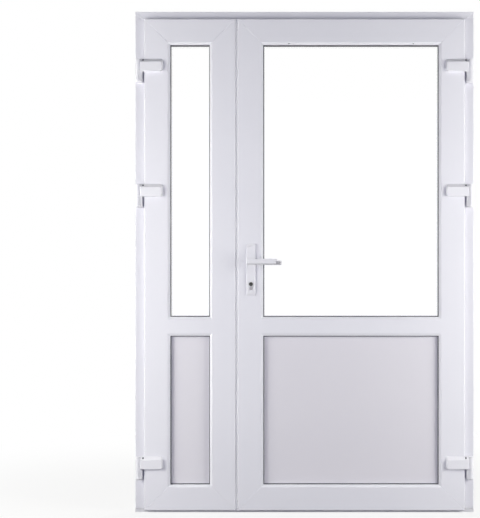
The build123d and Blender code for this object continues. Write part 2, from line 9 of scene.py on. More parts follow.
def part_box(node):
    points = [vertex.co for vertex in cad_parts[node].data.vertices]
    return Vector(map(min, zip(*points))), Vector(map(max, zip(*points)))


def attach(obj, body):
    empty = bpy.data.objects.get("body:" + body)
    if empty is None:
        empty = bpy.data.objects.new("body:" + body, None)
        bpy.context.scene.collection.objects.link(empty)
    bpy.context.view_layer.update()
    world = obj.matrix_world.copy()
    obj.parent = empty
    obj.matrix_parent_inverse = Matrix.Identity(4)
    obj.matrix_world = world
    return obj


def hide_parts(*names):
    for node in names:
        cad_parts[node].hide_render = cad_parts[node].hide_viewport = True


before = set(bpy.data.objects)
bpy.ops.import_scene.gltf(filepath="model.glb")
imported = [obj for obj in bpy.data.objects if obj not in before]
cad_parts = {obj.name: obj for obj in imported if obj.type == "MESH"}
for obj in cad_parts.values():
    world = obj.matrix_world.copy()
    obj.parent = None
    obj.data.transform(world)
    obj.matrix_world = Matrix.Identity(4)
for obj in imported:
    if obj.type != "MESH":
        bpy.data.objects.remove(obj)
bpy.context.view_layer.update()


# Outer frame: two jambs and a head, cut from one white PVC profile and welded at the mitres.
# The profile is drawn through a die and cooled in a calibrator, so it is satin, very faintly
# streaked along its length and a little uneven in tone over a hand's width.
PVC_WHITE = "#EFEEF3"
PVC_SHADE = "#EBEAF0"
PVC_IOR = 1.53
DIE_LINE_MM = 2.5
DIE_RUN_MM = 900
DIE_BUMP = 0.08
DIE_DEPTH = 0.0004
CLOUD_MM = 220
PVC_ROUGH = (0.42, 0.52)


def linear(colour):
    """An sRGB hex colour as linear red, green, blue and alpha."""
    channels = [int(colour[i:i + 2], 16) / 255 for i in (1, 3, 5)]
    return [c / 12.92 if c <= 0.04045 else ((c + 0.055) / 1.055) ** 2.4 for c in channels] + [1.0]


def add_node(tree, kind, settings=None, inputs=None):
    """A node with its settings, and with its inputs set to a value or linked from a socket."""
    node = tree.nodes.new(kind)
    for name, value in (settings or {}).items():
        setattr(node, name, value)
    for name, value in (inputs or {}).items():
        if isinstance(value, bpy.types.NodeSocket):
            tree.links.new(value, node.inputs[name])
        else:
            node.inputs[name].default_value = value
    return node


def new_material(name):
    """An empty material: the material, its node tree and its Object coordinates."""
    material = bpy.data.materials.new(name)
    material.use_nodes = True
    tree = material.node_tree
    tree.nodes.clear()
    return material, tree, add_node(tree, "ShaderNodeTexCoord").outputs["Object"]


def finish_material(tree, **inputs):
    """Close a material with its surface shader."""
    named = {name.replace("_", " "): value for name, value in inputs.items()}
    shader = add_node(tree, "ShaderNodeBsdfPrincipled", inputs=named)
    add_node(tree, "ShaderNodeOutputMaterial", inputs={"Surface": shader.outputs["BSDF"]})


def two_tones(tree, factor, light, dark):
    """A colour that goes from the light tone to the dark one with a factor."""
    tones = {"Factor": factor, 6: linear(light), 7: linear(dark)}
    return add_node(tree, "ShaderNodeMix", {"data_type": "RGBA"}, tones).outputs[2]


def coat(material, *nodes):
    """Give CAD nodes a finish."""
    for node in nodes:
        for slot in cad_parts[node].material_slots:
            slot.material = material


def extruded_pvc(name, run):
    """Rigid PVC, satin from the die: soft gloss, streaks drawn coarser to show, and faint clouds."""
    material, tree, place = new_material(name)
    scale = [1000 / (DIE_RUN_MM if axis == run else DIE_LINE_MM) for axis in "XYZ"]
    streak_place = add_node(tree, "ShaderNodeMapping", inputs={"Vector": place, "Scale": scale})
    streak_inputs = {"Vector": streak_place.outputs["Vector"], "Scale": 1.0, "Detail": 2.0}
    streaks = add_node(tree, "ShaderNodeTexNoise", inputs=streak_inputs).outputs["Fac"]
    cloud_inputs = {"Vector": place, "Scale": 1000 / CLOUD_MM, "Detail": 3.0}
    clouds = add_node(tree, "ShaderNodeTexNoise", inputs=cloud_inputs).outputs["Fac"]
    satin_inputs = {"Value": streaks, "To Min": PVC_ROUGH[0], "To Max": PVC_ROUGH[1]}
    satin = add_node(tree, "ShaderNodeMapRange", inputs=satin_inputs)
    bump_inputs = {"Height": streaks, "Strength": DIE_BUMP, "Distance": DIE_DEPTH}
    bump = add_node(tree, "ShaderNodeBump", inputs=bump_inputs)
    finish_material(
        tree,
        Base_Color=two_tones(tree, clouds, PVC_WHITE, PVC_SHADE),
        Roughness=satin.outputs["Result"],
        Normal=bump.outputs["Normal"],
        IOR=PVC_IOR,
    )
    return material


upright_pvc = extruded_pvc("upright_pvc", "Z")
level_pvc = extruded_pvc("level_pvc", "X")
coat(upright_pvc, "left_jamb", "right_jamb")
coat(level_pvc, "head")


# Threshold: a low aluminium sill under the jambs, powder coated white, with the tread ribs
# that keep a shoe from slipping. The coating is satin with a fine orange peel, and feet have
# left it a little greyer than the frame.
THRESHOLD_WHITE = "#EFEEF1"
THRESHOLD_SCUFF = "#E3E2E5"
THRESHOLD_ROUGH = (0.36, 0.5)
THRESHOLD_PEEL = 0.12
PEEL_MM = 1.6
PEEL_DEPTH = 0.0002
SCUFF_MM = 60
COATING_IOR = 1.5
RIB_COUNT = 5
RIB_PITCH = 0.0075
RIB_WIDTH = 0.0030
RIB_RISE = 0.0009
RIB_ROUND = 0.0004
RIB_END = 0.014
MERGE_DISTANCE = 0.000005
SMOOTH_ANGLE = math.radians(35)


def powder_coat(name, light, dark, tone_mm, rough, peel):
    """Baked powder coating on metal: an even satin skin, its orange peel drawn coarser to show."""
    material, tree, place = new_material(name)
    tone_inputs = {"Vector": place, "Scale": 1000 / tone_mm, "Detail": 4.0}
    tones = add_node(tree, "ShaderNodeTexNoise", inputs=tone_inputs).outputs["Fac"]
    peel_inputs = {"Vector": place, "Scale": 1000 / PEEL_MM, "Detail": 1.0}
    skin = add_node(tree, "ShaderNodeTexNoise", inputs=peel_inputs).outputs["Fac"]
    satin_inputs = {"Value": tones, "To Min": rough[0], "To Max": rough[1]}
    satin = add_node(tree, "ShaderNodeMapRange", inputs=satin_inputs)
    bump_inputs = {"Height": skin, "Strength": peel, "Distance": PEEL_DEPTH}
    bump = add_node(tree, "ShaderNodeBump", inputs=bump_inputs)
    finish_material(
        tree,
        Base_Color=two_tones(tree, tones, light, dark),
        Roughness=satin.outputs["Result"],
        Normal=bump.outputs["Normal"],
        IOR=COATING_IOR,
    )
    return material


def new_piece(name, bm, material, body):
    """Turn a finished bmesh into a piece that rides on a body, its rounded edges shaded smooth."""
    bmesh.ops.remove_doubles(bm, verts=bm.verts, dist=MERGE_DISTANCE)
    bmesh.ops.recalc_face_normals(bm, faces=bm.faces)
    mesh = bpy.data.meshes.new(name)
    bm.to_mesh(mesh)
    bm.free()
    mesh.shade_smooth()
    mesh.set_sharp_from_angle(angle=SMOOTH_ANGLE)
    mesh.materials.append(material)
    piece = bpy.data.objects.new(name, mesh)
    bpy.context.scene.collection.objects.link(piece)
    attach(piece, body)
    return piece


def rounded_bar(bm, low, high, round_edge):
    """A straight bar between two corners with its edges rounded."""
    bar = bmesh.ops.create_cube(bm, size=1)["verts"]
    bmesh.ops.scale(bm, vec=high - low, verts=bar)
    bmesh.ops.translate(bm, vec=(low + high) / 2, verts=bar)
    edges = list({edge for vert in bar for edge in vert.link_edges})
    bmesh.ops.bevel(
        bm, geom=edges, offset=round_edge, segments=2, profile=0.5, affect="EDGES", material=-1
    )


# Satin white, greyed in patches by shoes.
threshold_coat = powder_coat(
    "threshold_coat", THRESHOLD_WHITE, THRESHOLD_SCUFF, SCUFF_MM, THRESHOLD_ROUGH, THRESHOLD_PEEL
)
coat(threshold_coat, "threshold")
jamb_low, jamb_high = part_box("left_jamb")
threshold_low, threshold_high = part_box("threshold")
seal_low, seal_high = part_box("frame_seals")
tread_z = jamb_low.z
tread_y = (threshold_low.y + seal_low.y) / 2
bm = bmesh.new()
for rib in range(RIB_COUNT):
    rib_y = tread_y + (rib - (RIB_COUNT - 1) / 2) * RIB_PITCH
    rounded_bar(
        bm,
        Vector((jamb_high.x + RIB_END, rib_y - RIB_WIDTH / 2, tread_z)),
        Vector((-jamb_high.x - RIB_END, rib_y + RIB_WIDTH / 2, tread_z + RIB_RISE)),
        RIB_ROUND,
    )
new_piece("tread_ribs", bm, threshold_coat, "frame")


# Seals of the frame: soft dark EPDM bulbs pressed into the front of the stop all round, which
# the leaves close on. Extruded rubber, matt, with a dusty grain.
EPDM_DARK = "#3A3A3E"
EPDM_DUST = "#4A4A4E"
EPDM_IOR = 1.52
RUBBER_ROUGH = (0.7, 0.85)
RUBBER_GRAIN_MM = 1.2
RUBBER_BUMP = 0.2
RUBBER_DEPTH = 0.0003
SEAL_WIDTH = 0.005
BULB_SIDES = 20


def rubber(name, light, dark):
    """Extruded rubber: no shine, with a fine grain that is drawn coarser than it is, to show."""
    material, tree, place = new_material(name)
    grain_inputs = {"Vector": place, "Scale": 1000 / RUBBER_GRAIN_MM, "Detail": 3.0}
    grain = add_node(tree, "ShaderNodeTexNoise", inputs=grain_inputs).outputs["Fac"]
    matt_inputs = {"Value": grain, "To Min": RUBBER_ROUGH[0], "To Max": RUBBER_ROUGH[1]}
    matt = add_node(tree, "ShaderNodeMapRange", inputs=matt_inputs)
    bump_inputs = {"Height": grain, "Strength": RUBBER_BUMP, "Distance": RUBBER_DEPTH}
    bump = add_node(tree, "ShaderNodeBump", inputs=bump_inputs)
    finish_material(
        tree,
        Base_Color=two_tones(tree, grain, light, dark),
        Roughness=matt.outputs["Result"],
        Normal=bump.outputs["Normal"],
        IOR=EPDM_IOR,
    )
    return material


def seal_run(bm, start, end, across, rise):
    """A D-shaped bulb along a straight run, pressed flat where it sits in its groove."""
    section = bmesh.ops.create_circle(bm, cap_ends=True, radius=1, segments=BULB_SIDES)["verts"]
    for vert in section:
        vert.co.y = max(vert.co.y, 0)
    along = Vector(end) - Vector(start)
    turn = Matrix((Vector(across), Vector(rise), along.normalized())).transposed().to_4x4()
    bmesh.ops.transform(bm, matrix=Matrix.Translation(start) @ turn, verts=section)
    drawn = bmesh.ops.extrude_face_region(bm, geom=list(section[0].link_faces))["geom"]
    ends = [part for part in drawn if isinstance(part, bmesh.types.BMVert)]
    bmesh.ops.translate(bm, vec=along, verts=ends)


# Nearly black, dulled by dust.
dark_epdm = rubber("dark_epdm", EPDM_DUST, EPDM_DARK)
bulb_half = SEAL_WIDTH / 2
foot_y = seal_high.y
rise = (0, seal_low.y - seal_high.y, 0)
side_low = threshold_high.z
side_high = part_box("head")[0].z
bm = bmesh.new()
for side in (-1, 1):
    seal_x = side * (seal_high.x - bulb_half)
    seal_run(bm, (seal_x, foot_y, side_low), (seal_x, foot_y, side_high), (bulb_half, 0, 0), rise)
level_x = seal_high.x - SEAL_WIDTH
for seal_z in (seal_low.z + bulb_half, seal_high.z - bulb_half):
    seal_run(bm, (-level_x, foot_y, seal_z), (level_x, foot_y, seal_z), (0, 0, bulb_half), rise)
frame_bulbs = new_piece("frame_bulb_seals", bm, dark_epdm, "frame")
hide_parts("frame_seals")


# Leaf profiles: stiles, rails and a middle rail in the same white PVC as the frame, welded at
# the mitres. Their streaks run along each bar.
for leaf in ("left", "right"):
    coat(upright_pvc, f"{leaf}_hinge_stile", f"{leaf}_meeting_stile")
    coat(level_pvc, f"{leaf}_top_rail", f"{leaf}_mid_rail", f"{leaf}_bottom_rail")


# Double glazing: two panes of clear float glass on an aluminium spacer. The glass is fire
# polished, with no colour to speak of and a trace of smears.
GLASS_IOR = 1.52
SMEAR_MM = 130
SMEAR_FROM = 0.4
SMEAR_ROUGH = 0.02
ALUMINIUM = "#C9CACC"
ALUMINIUM_SHADE = "#BDBEC1"
ALUMINIUM_ROUGH = (0.28, 0.42)
ROLL_LINE_MM = 0.8
LINE_STRETCH = 60
LINE_BUMP = 0.1
LINE_DEPTH = 0.0001

# Quite clear, so that only the edges and a faint reflection show.
float_glass, tree, place = new_material("float_glass")
smear_inputs = {"Vector": place, "Scale": 1000 / SMEAR_MM, "Detail": 3.0}
smears = add_node(tree, "ShaderNodeTexNoise", inputs=smear_inputs).outputs["Fac"]
clear_inputs = {"Value": smears, "From Min": SMEAR_FROM, "To Min": 0.0, "To Max": SMEAR_ROUGH}
clear = add_node(tree, "ShaderNodeMapRange", inputs=clear_inputs)
finish_material(
    tree,
    Base_Color=(1, 1, 1, 1),
    Roughness=clear.outputs["Result"],
    IOR=GLASS_IOR,
    Transmission_Weight=1.0,
)
coat(float_glass, "left_glass", "right_glass")


def lined_metal(name, light, dark, line_mm, rough):
    """Bare or plated metal: a soft shine drawn out by fine lines of rolling, brushing or turning."""
    material, tree, place = new_material(name)
    scale = (1000 / line_mm, 1000 / line_mm, 1000 / (LINE_STRETCH * line_mm))
    line_place = add_node(tree, "ShaderNodeMapping", inputs={"Vector": place, "Scale": scale})
    line_inputs = {"Vector": line_place.outputs["Vector"], "Scale": 1.0, "Detail": 3.0}
    lines = add_node(tree, "ShaderNodeTexNoise", inputs=line_inputs).outputs["Fac"]
    polish_inputs = {"Value": lines, "To Min": rough[0], "To Max": rough[1]}
    polish = add_node(tree, "ShaderNodeMapRange", inputs=polish_inputs)
    bump_inputs = {"Height": lines, "Strength": LINE_BUMP, "Distance": LINE_DEPTH}
    bump = add_node(tree, "ShaderNodeBump", inputs=bump_inputs)
    finish_material(
        tree,
        Base_Color=two_tones(tree, lines, light, dark),
        Metallic=1.0,
        Roughness=polish.outputs["Result"],
        Normal=bump.outputs["Normal"],
    )
    return material


# Pale grey with a dull shine, as it leaves the rolls.
mill_aluminium = lined_metal(
    "mill_aluminium", ALUMINIUM, ALUMINIUM_SHADE, ROLL_LINE_MM, ALUMINIUM_ROUGH
)
coat(mill_aluminium, "left_spacer", "right_spacer")


# Panels below the middle rail: foamed PVC sheet between two smooth skins, a shade greyer and
# more matt than the profiles, with a fine pressed grain.
PANEL_WHITE = "#E6E3E8"
PANEL_SHADE = "#E2DFE5"
PANEL_ROUGH = (0.45, 0.58)
PANEL_GRAIN_MM = 1.4
PANEL_BUMP = 0.06
PANEL_DEPTH = 0.0002
PANEL_CLOUD_MM = 300

# Flat and quiet: a broad soft sheen, and a grain that is drawn coarser than it is, to show.
panel_skin, tree, place = new_material("panel_skin")
grain_inputs = {"Vector": place, "Scale": 1000 / PANEL_GRAIN_MM, "Detail": 2.0}
grain = add_node(tree, "ShaderNodeTexNoise", inputs=grain_inputs).outputs["Fac"]
cloud_inputs = {"Vector": place, "Scale": 1000 / PANEL_CLOUD_MM, "Detail": 3.0}
clouds = add_node(tree, "ShaderNodeTexNoise", inputs=cloud_inputs).outputs["Fac"]
matt_inputs = {"Value": grain, "To Min": PANEL_ROUGH[0], "To Max": PANEL_ROUGH[1]}
matt = add_node(tree, "ShaderNodeMapRange", inputs=matt_inputs)
bump_inputs = {"Height": grain, "Strength": PANEL_BUMP, "Distance": PANEL_DEPTH}
bump = add_node(tree, "ShaderNodeBump", inputs=bump_inputs)
finish_material(
    tree,
    Base_Color=two_tones(tree, clouds, PANEL_WHITE, PANEL_SHADE),
    Roughness=matt.outputs["Result"],
    Normal=bump.outputs["Normal"],
    IOR=PVC_IOR,
)
coat(panel_skin, "left_panel", "right_panel")


# Glazing gaskets: dark EPDM lips rolled in between the profile and the glass, and between the
# glass and the beads. Each runs round its opening in one piece, with a rounded visible edge.
LEAF_FACE = 0.106
GASKET_COVER = 0.008
GASKET_SHOW = 0.004
REAR_GASKET_SHOW = 0.001
GASKET_ROUND = 0.0014
GASKET_LIGHT = "#5C5C62"
GASKET_DARK = "#525258"

# A soft grey line, paler than the seals because it faces the light.
gasket_epdm = rubber("gasket_epdm", GASKET_LIGHT, GASKET_DARK)


def gasket_ring(bm, opening, show, face, rear):
    """A flat rubber ring round an opening: a sheet inset to a ring, drawn out and rounded inside."""
    x_low, x_high, z_low, z_high = opening
    corners = ((x_low, z_low), (x_high, z_low), (x_high, z_high), (x_low, z_high))
    middle = Vector(((x_low + x_high) / 2, face, (z_low + z_high) / 2))
    sheet = bm.faces.new([bm.verts.new((x, face, z)) for x, z in corners])
    for vert in sheet.verts:
        out = vert.co - middle
        vert.co += Vector((math.copysign(GASKET_COVER, out.x), 0, math.copysign(GASKET_COVER, out.z)))
    bm.normal_update()
    reach = GASKET_COVER + show
    rim = bmesh.ops.inset_individual(bm, faces=[sheet], thickness=reach, use_even_offset=True)["faces"]
    inner_edges = list(sheet.edges)
    bmesh.ops.delete(bm, geom=[sheet], context="FACES_ONLY")
    drawn = bmesh.ops.extrude_face_region(bm, geom=rim)["geom"]
    back = [part for part in drawn if isinstance(part, bmesh.types.BMVert)]
    bmesh.ops.translate(bm, vec=(0, rear - face, 0), verts=back)
    round_edge = min(GASKET_ROUND, show / 2)
    bmesh.ops.bevel(
        bm, geom=inner_edges, offset=round_edge, segments=3, profile=0.5, affect="EDGES", material=-1
    )


for leaf in ("left", "right"):
    stiles = [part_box(f"{leaf}_{stile}_stile") for stile in ("hinge", "meeting")]
    leaf_low_x = min(low.x for low, high in stiles)
    leaf_high_x = max(high.x for low, high in stiles)
    rail_low, rail_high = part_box(f"{leaf}_mid_rail")
    top_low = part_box(f"{leaf}_top_rail")[0]
    bottom_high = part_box(f"{leaf}_bottom_rail")[1]
    sides = (leaf_low_x + LEAF_FACE, leaf_high_x - LEAF_FACE)
    openings = ((*sides, rail_high.z, top_low.z), (*sides, bottom_high.z, rail_low.z))
    gasket_low, gasket_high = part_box(f"{leaf}_gaskets")
    glass_low, glass_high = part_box(f"{leaf}_glass")
    bm = bmesh.new()
    for opening in openings:
        gasket_ring(bm, opening, GASKET_SHOW, gasket_low.y, glass_low.y)
        gasket_ring(bm, opening, REAR_GASKET_SHOW, gasket_high.y, glass_high.y)
    lips = new_piece(f"{leaf}_gasket_lips", bm, gasket_epdm, f"{leaf}_leaf")
    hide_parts(f"{leaf}_gaskets")


# Glazing beads: thin strips of the same white PVC that hold the glass and the panels from
# behind. They are cut by saw to a mitre and snapped into a groove of the profile.
coat(level_pvc, "left_beads", "right_beads")


# Seals of the leaves: the same dark bulbs as the frame's, on the back of the flange along the
# three sides that close on the frame.
SEAL_INSET = 0.0015
SEAL_END = 0.008
for leaf, side in (("left", -1), ("right", 1)):
    seal_low, seal_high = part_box(f"{leaf}_leaf_seal")
    stile_low, stile_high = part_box(f"{leaf}_hinge_stile")
    near_x = stile_low.x if side < 0 else stile_high.x
    seal_x = near_x - side * (SEAL_INSET + bulb_half)
    foot_y = seal_low.y
    rise = (0, seal_high.y - seal_low.y, 0)
    level_from = near_x - side * (SEAL_INSET + SEAL_WIDTH)
    level_to = seal_high.x if side < 0 else seal_low.x
    upright_from = stile_low.z + SEAL_END
    upright_to = stile_high.z - SEAL_END
    bm = bmesh.new()
    seal_run(bm, (seal_x, foot_y, upright_from), (seal_x, foot_y, upright_to), (bulb_half, 0, 0), rise)
    for seal_z in (seal_low.z + bulb_half, seal_high.z - bulb_half):
        seal_run(bm, (level_from, foot_y, seal_z), (level_to, foot_y, seal_z), (0, 0, bulb_half), rise)
    leaf_bulbs = new_piece(f"{leaf}_leaf_bulb_seals", bm, dark_epdm, f"{leaf}_leaf")
    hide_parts(f"{leaf}_leaf_seal")


# Hinges: three on each leaf. A white coated cover on the leaf carries the upper barrel, and a
# knuckle screwed to the jamb the lower one. Each barrel has a low cap, and a socket screw in
# the cover's sloping top lifts or lowers the leaf.
HINGE_WHITE = "#F0EFF3"
HINGE_SHADE = "#ECEBF0"
HINGE_TONE_MM = 90
HINGE_ROUGH = (0.5, 0.6)
HINGE_PEEL = 0.08
HINGE_SPLITS = (0.182, 1.304, 1.819)
BARREL_RADIUS = 0.0105
BARREL_HEIGHT = 0.049
CAP_RISE = 0.0016
CAP_ROUND = 0.0011
CAP_STEPS = 40
COVER_HEIGHT = 0.052
ADJUSTER_OUT = 0.004
ADJUSTER_STAND = 0.006
ADJUSTER_RADIUS = 0.0027
ADJUSTER_SUNK = 0.0035
ADJUSTER_DEPTH = 0.0085
ADJUSTER_RIM = 0.0003
HEX_ACROSS = 0.0030
HEX_DEPTH = 0.0025
BLACK_OXIDE = "#35353A"
BLACK_OXIDE_SHADE = "#28282C"
BLACK_OXIDE_ROUGH = (0.4, 0.55)
ZINC = "#B9BABD"
ZINC_SHADE = "#A9AAAE"
ZINC_ROUGH = (0.26, 0.4)
BRUSH_LINE_MM = 0.5
HEAD_SIDES = 24
RECESS_INSET = 0.2

# The same white as the profiles but duller, so that edges show by their shadow.
hinge_coat = powder_coat(
    "hinge_coat", HINGE_WHITE, HINGE_SHADE, HINGE_TONE_MM, HINGE_ROUGH, HINGE_PEEL
)
# Blackened socket screws: a dark dot in the white cover.
black_steel = lined_metal(
    "black_steel", BLACK_OXIDE, BLACK_OXIDE_SHADE, BRUSH_LINE_MM, BLACK_OXIDE_ROUGH
)
# Zinc plated steel: a cool grey with brushed glints.
zinc_steel = lined_metal("zinc_steel", ZINC, ZINC_SHADE, BRUSH_LINE_MM, ZINC_ROUGH)


def turned(bm, section, place):
    """A round piece turned from a half section of radii and heights, and put in its place."""
    before = set(bm.verts)
    line = [bm.verts.new((radius, 0, height)) for radius, height in section]
    edges = [bm.edges.new(pair) for pair in zip(line, line[1:])]
    if section[0][0] > 0:
        edges.append(bm.edges.new((line[-1], line[0])))
    bmesh.ops.spin(
        bm,
        geom=line + edges,
        cent=(0, 0, 0),
        axis=(0, 0, 1),
        angle=2 * math.pi,
        steps=CAP_STEPS,
        use_merge=True,
    )
    bmesh.ops.transform(bm, matrix=place, verts=[vert for vert in bm.verts if vert not in before])


def recessed_head(bm, radius, rise, rim, recess, depth, place):
    """A round screw head or plug with a rounded rim, and a recess whose radius follows the angle."""
    before = set(bm.verts)
    head = bmesh.ops.create_cone(
        bm, cap_ends=True, segments=HEAD_SIDES, radius1=radius, radius2=radius, depth=rise
    )["verts"]
    bmesh.ops.translate(bm, vec=(0, 0, rise / 2), verts=head)
    made_edges = [edge for edge in bm.edges if edge.verts[0] not in before]
    top_edges = [edge for edge in made_edges if min(vert.co.z for vert in edge.verts) > rise / 2]
    bmesh.ops.bevel(
        bm, geom=top_edges, offset=rim, segments=2, profile=0.5, affect="EDGES", material=-1
    )
    made_faces = [face for face in bm.faces if face.verts[0] not in before]
    top = max(made_faces, key=lambda face: (len(face.verts), face.calc_center_median().z))
    bmesh.ops.inset_individual(bm, faces=[top], thickness=radius * RECESS_INSET)
    for vert in top.verts:
        angle = math.atan2(vert.co.y, vert.co.x)
        reach = recess(angle)
        vert.co.x = reach * math.cos(angle)
        vert.co.y = reach * math.sin(angle)
    sunk = bmesh.ops.extrude_face_region(bm, geom=[top])["geom"]
    floor_verts = [part for part in sunk if isinstance(part, bmesh.types.BMVert)]
    bmesh.ops.translate(bm, vec=(0, 0, -depth), verts=floor_verts)
    bmesh.ops.delete(bm, geom=[top], context="FACES_ONLY")
    bmesh.ops.transform(bm, matrix=place, verts=[vert for vert in bm.verts if vert not in before])


def hex_socket(angle):
    """The radius of a hexagon socket at an angle."""
    sixth = math.pi / 3
    return HEX_ACROSS / 2 / math.cos(angle % sixth - sixth / 2)


cap_section = (
    (0, 0),
    (BARREL_RADIUS, 0),
    (BARREL_RADIUS, CAP_RISE - CAP_ROUND),
    (BARREL_RADIUS - CAP_ROUND, CAP_RISE),
    (0, CAP_RISE),
)
for leaf, side in (("left", -1), ("right", 1)):
    coat(hinge_coat, f"{leaf}_leaf_hinges", f"{leaf}_frame_hinges")
    hinge_low, hinge_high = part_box(f"{leaf}_leaf_hinges")
    stile_low, stile_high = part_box(f"{leaf}_hinge_stile")
    axis_x = hinge_low.x + BARREL_RADIUS if side < 0 else hinge_high.x - BARREL_RADIUS
    axis_y = hinge_low.y + BARREL_RADIUS
    leaf_edge = stile_low.x if side < 0 else stile_high.x
    caps = bmesh.new()
    screws = bmesh.new()
    for split in HINGE_SPLITS:
        turned(caps, cap_section, Matrix.Translation((axis_x, axis_y, split + BARREL_HEIGHT)))
        screw_x = leaf_edge + side * ADJUSTER_OUT
        screw_y = stile_low.y - ADJUSTER_STAND
        screw_z = split + COVER_HEIGHT - ADJUSTER_SUNK - ADJUSTER_DEPTH
        screw_place = Matrix.Translation((screw_x, screw_y, screw_z))
        recessed_head(
            screws, ADJUSTER_RADIUS, ADJUSTER_DEPTH, ADJUSTER_RIM, hex_socket, HEX_DEPTH, screw_place
        )
    new_piece(f"{leaf}_barrel_caps", caps, hinge_coat, f"{leaf}_leaf")
    new_piece(f"{leaf}_hinge_adjusters", screws, black_steel, f"{leaf}_leaf")


# Meeting edge of the left leaf: a PVC astragal that fills the recess behind the flange, a pale
# soft tube seal that closes the joint between the two flanges, and the lock's keep plate.
SEAL_GREY = "#E6E6EB"
SEAL_GREY_SHADE = "#DEDEE4"
TUBE_GAP = 0.0006
TUBE_RECESS = 0.0020
TUBE_DEPTH = 0.0090
WING_ROUND = 0.0015
KEEP_ROWS = 4
KEEP_HOLE_ROWS = (1, 2)
KEEP_HOLE_EDGE = 0.0035
SCREW_RADIUS = 0.0038
SCREW_RISE = 0.0006
SCREW_RIM = 0.0003
CROSS_ARM = 0.0022
CROSS_WAIST = 0.0009
CROSS_DEPTH = 0.0006
CROSS_SHARP = 3
KEEP_SCREW_END = 0.018

coat(upright_pvc, "astragal", "lock_edge")
# Almost as pale as the profiles, so that the joint reads as a soft thin line.
pale_rubber = rubber("pale_rubber", SEAL_GREY, SEAL_GREY_SHADE)
left_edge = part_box("left_meeting_stile")[1].x
right_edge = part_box("right_meeting_stile")[0].x
meeting_low, meeting_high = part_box("meeting_seal")
leaf_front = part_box("left_meeting_stile")[0].y
astragal_low, astragal_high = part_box("astragal")
bm = bmesh.new()
tube = bmesh.ops.create_circle(bm, cap_ends=True, radius=1, segments=BULB_SIDES)["verts"]
tube_half = (right_edge - TUBE_GAP - left_edge) / 2
bmesh.ops.scale(bm, vec=(tube_half, TUBE_DEPTH / 2, 1), verts=tube)
tube_place = (left_edge + tube_half, leaf_front + TUBE_RECESS + TUBE_DEPTH / 2, meeting_low.z)
bmesh.ops.translate(bm, vec=tube_place, verts=tube)
drawn = bmesh.ops.extrude_face_region(bm, geom=list(tube[0].link_faces))["geom"]
tube_top = [part for part in drawn if isinstance(part, bmesh.types.BMVert)]
bmesh.ops.translate(bm, vec=(0, 0, meeting_high.z - meeting_low.z), verts=tube_top)
rounded_bar(
    bm,
    Vector((meeting_low.x, astragal_low.y, astragal_low.z)),
    Vector((meeting_high.x, meeting_high.y, astragal_high.z)),
    WING_ROUND,
)
joint_seal = new_piece("joint_seal", bm, pale_rubber, "left_leaf")
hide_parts("meeting_seal")


def cross_recess(angle):
    """The radius of a cross recess at an angle."""
    return CROSS_WAIST + (CROSS_ARM - CROSS_WAIST) * abs(math.cos(2 * angle)) ** CROSS_SHARP


keep_low, keep_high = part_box("keep_plate")
keep_middle = (keep_low + keep_high) / 2
bm = bmesh.new()
keep = bmesh.ops.create_grid(bm, x_segments=1, y_segments=KEEP_ROWS, size=0.5)["verts"]
bmesh.ops.scale(bm, vec=(keep_high.y - keep_low.y, keep_high.z - keep_low.z, 1), verts=keep)
rows = sorted(bm.faces, key=lambda face: face.calc_center_median().y)
holes = [rows[row] for row in KEEP_HOLE_ROWS]
bm.normal_update()
bmesh.ops.inset_individual(bm, faces=holes, thickness=KEEP_HOLE_EDGE, use_even_offset=True)
bmesh.ops.delete(bm, geom=holes, context="FACES_ONLY")
drawn = bmesh.ops.extrude_face_region(bm, geom=list(bm.faces))["geom"]
keep_face = [part for part in drawn if isinstance(part, bmesh.types.BMVert)]
bmesh.ops.translate(bm, vec=(0, 0, keep_high.x - keep_low.x), verts=keep_face)
keep_turn = Matrix(((0, 0, 1), (1, 0, 0), (0, 1, 0))).to_4x4()
keep_place = Matrix.Translation((keep_low.x, keep_middle.y, keep_middle.z)) @ keep_turn
bmesh.ops.transform(bm, matrix=keep_place, verts=bm.verts)
for screw_z in (keep_low.z + KEEP_SCREW_END, keep_high.z - KEEP_SCREW_END):
    screw_place = Matrix.Translation((keep_high.x, keep_middle.y, screw_z)) @ keep_turn
    recessed_head(bm, SCREW_RADIUS, SCREW_RISE, SCREW_RIM, cross_recess, CROSS_DEPTH, screw_place)
pierced_keep = new_piece("pierced_keep", bm, zinc_steel, "left_leaf")
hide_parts("keep_plate")


# Lock of the right leaf: a zinc plated strip let into the meeting edge, held by countersunk
# screws, with the drawn-back noses of the latch and the bolt, and a nickel plated cylinder
# whose plug has the keyway. The plug's dark grey is painted shade, standing in for the shade
# inside the keyhole.
STRIP_SCREWS = 8
STRIP_SCREW_END = 0.060
NICKEL = "#B0ADA3"
NICKEL_SHADE = "#A3A095"
# The plug's two dark tones are painted shade of the keyhole, not a darker metal.
PLUG_PAINTED_SHADE = "#4B4B45"
PLUG_PAINTED_DEEP_SHADE = "#3F3F3A"
NICKEL_ROUGH = (0.28, 0.4)
PLUG_ROUGH = (0.3, 0.42)
TURNED_LINE_MM = 0.4
PLUG_RADIUS = 0.0075
PLUG_RISE = 0.0004
PLUG_RIM = 0.0002
KEYWAY_WIDE = 0.0013
KEYWAY_TALL = 0.0078
KEYWAY_DEPTH = 0.0060
NEAR_NOUGHT = 0.001
CYLINDER_RADIUS = 0.0085

coat(zinc_steel, "lock_strip", "lock_bolts", "spindle")
strip_low, strip_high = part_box("lock_strip")
strip_turn = Matrix(((0, 0, -1), (-1, 0, 0), (0, 1, 0))).to_4x4()
bm = bmesh.new()
strip_y = (strip_low.y + strip_high.y) / 2
screw_run = strip_high.z - strip_low.z - 2 * STRIP_SCREW_END
for number in range(STRIP_SCREWS):
    screw_z = strip_low.z + STRIP_SCREW_END + screw_run * number / (STRIP_SCREWS - 1)
    screw_place = Matrix.Translation((strip_low.x, strip_y, screw_z)) @ strip_turn
    recessed_head(bm, SCREW_RADIUS, SCREW_RISE, SCREW_RIM, cross_recess, CROSS_DEPTH, screw_place)
new_piece("strip_screws", bm, zinc_steel, "right_leaf")
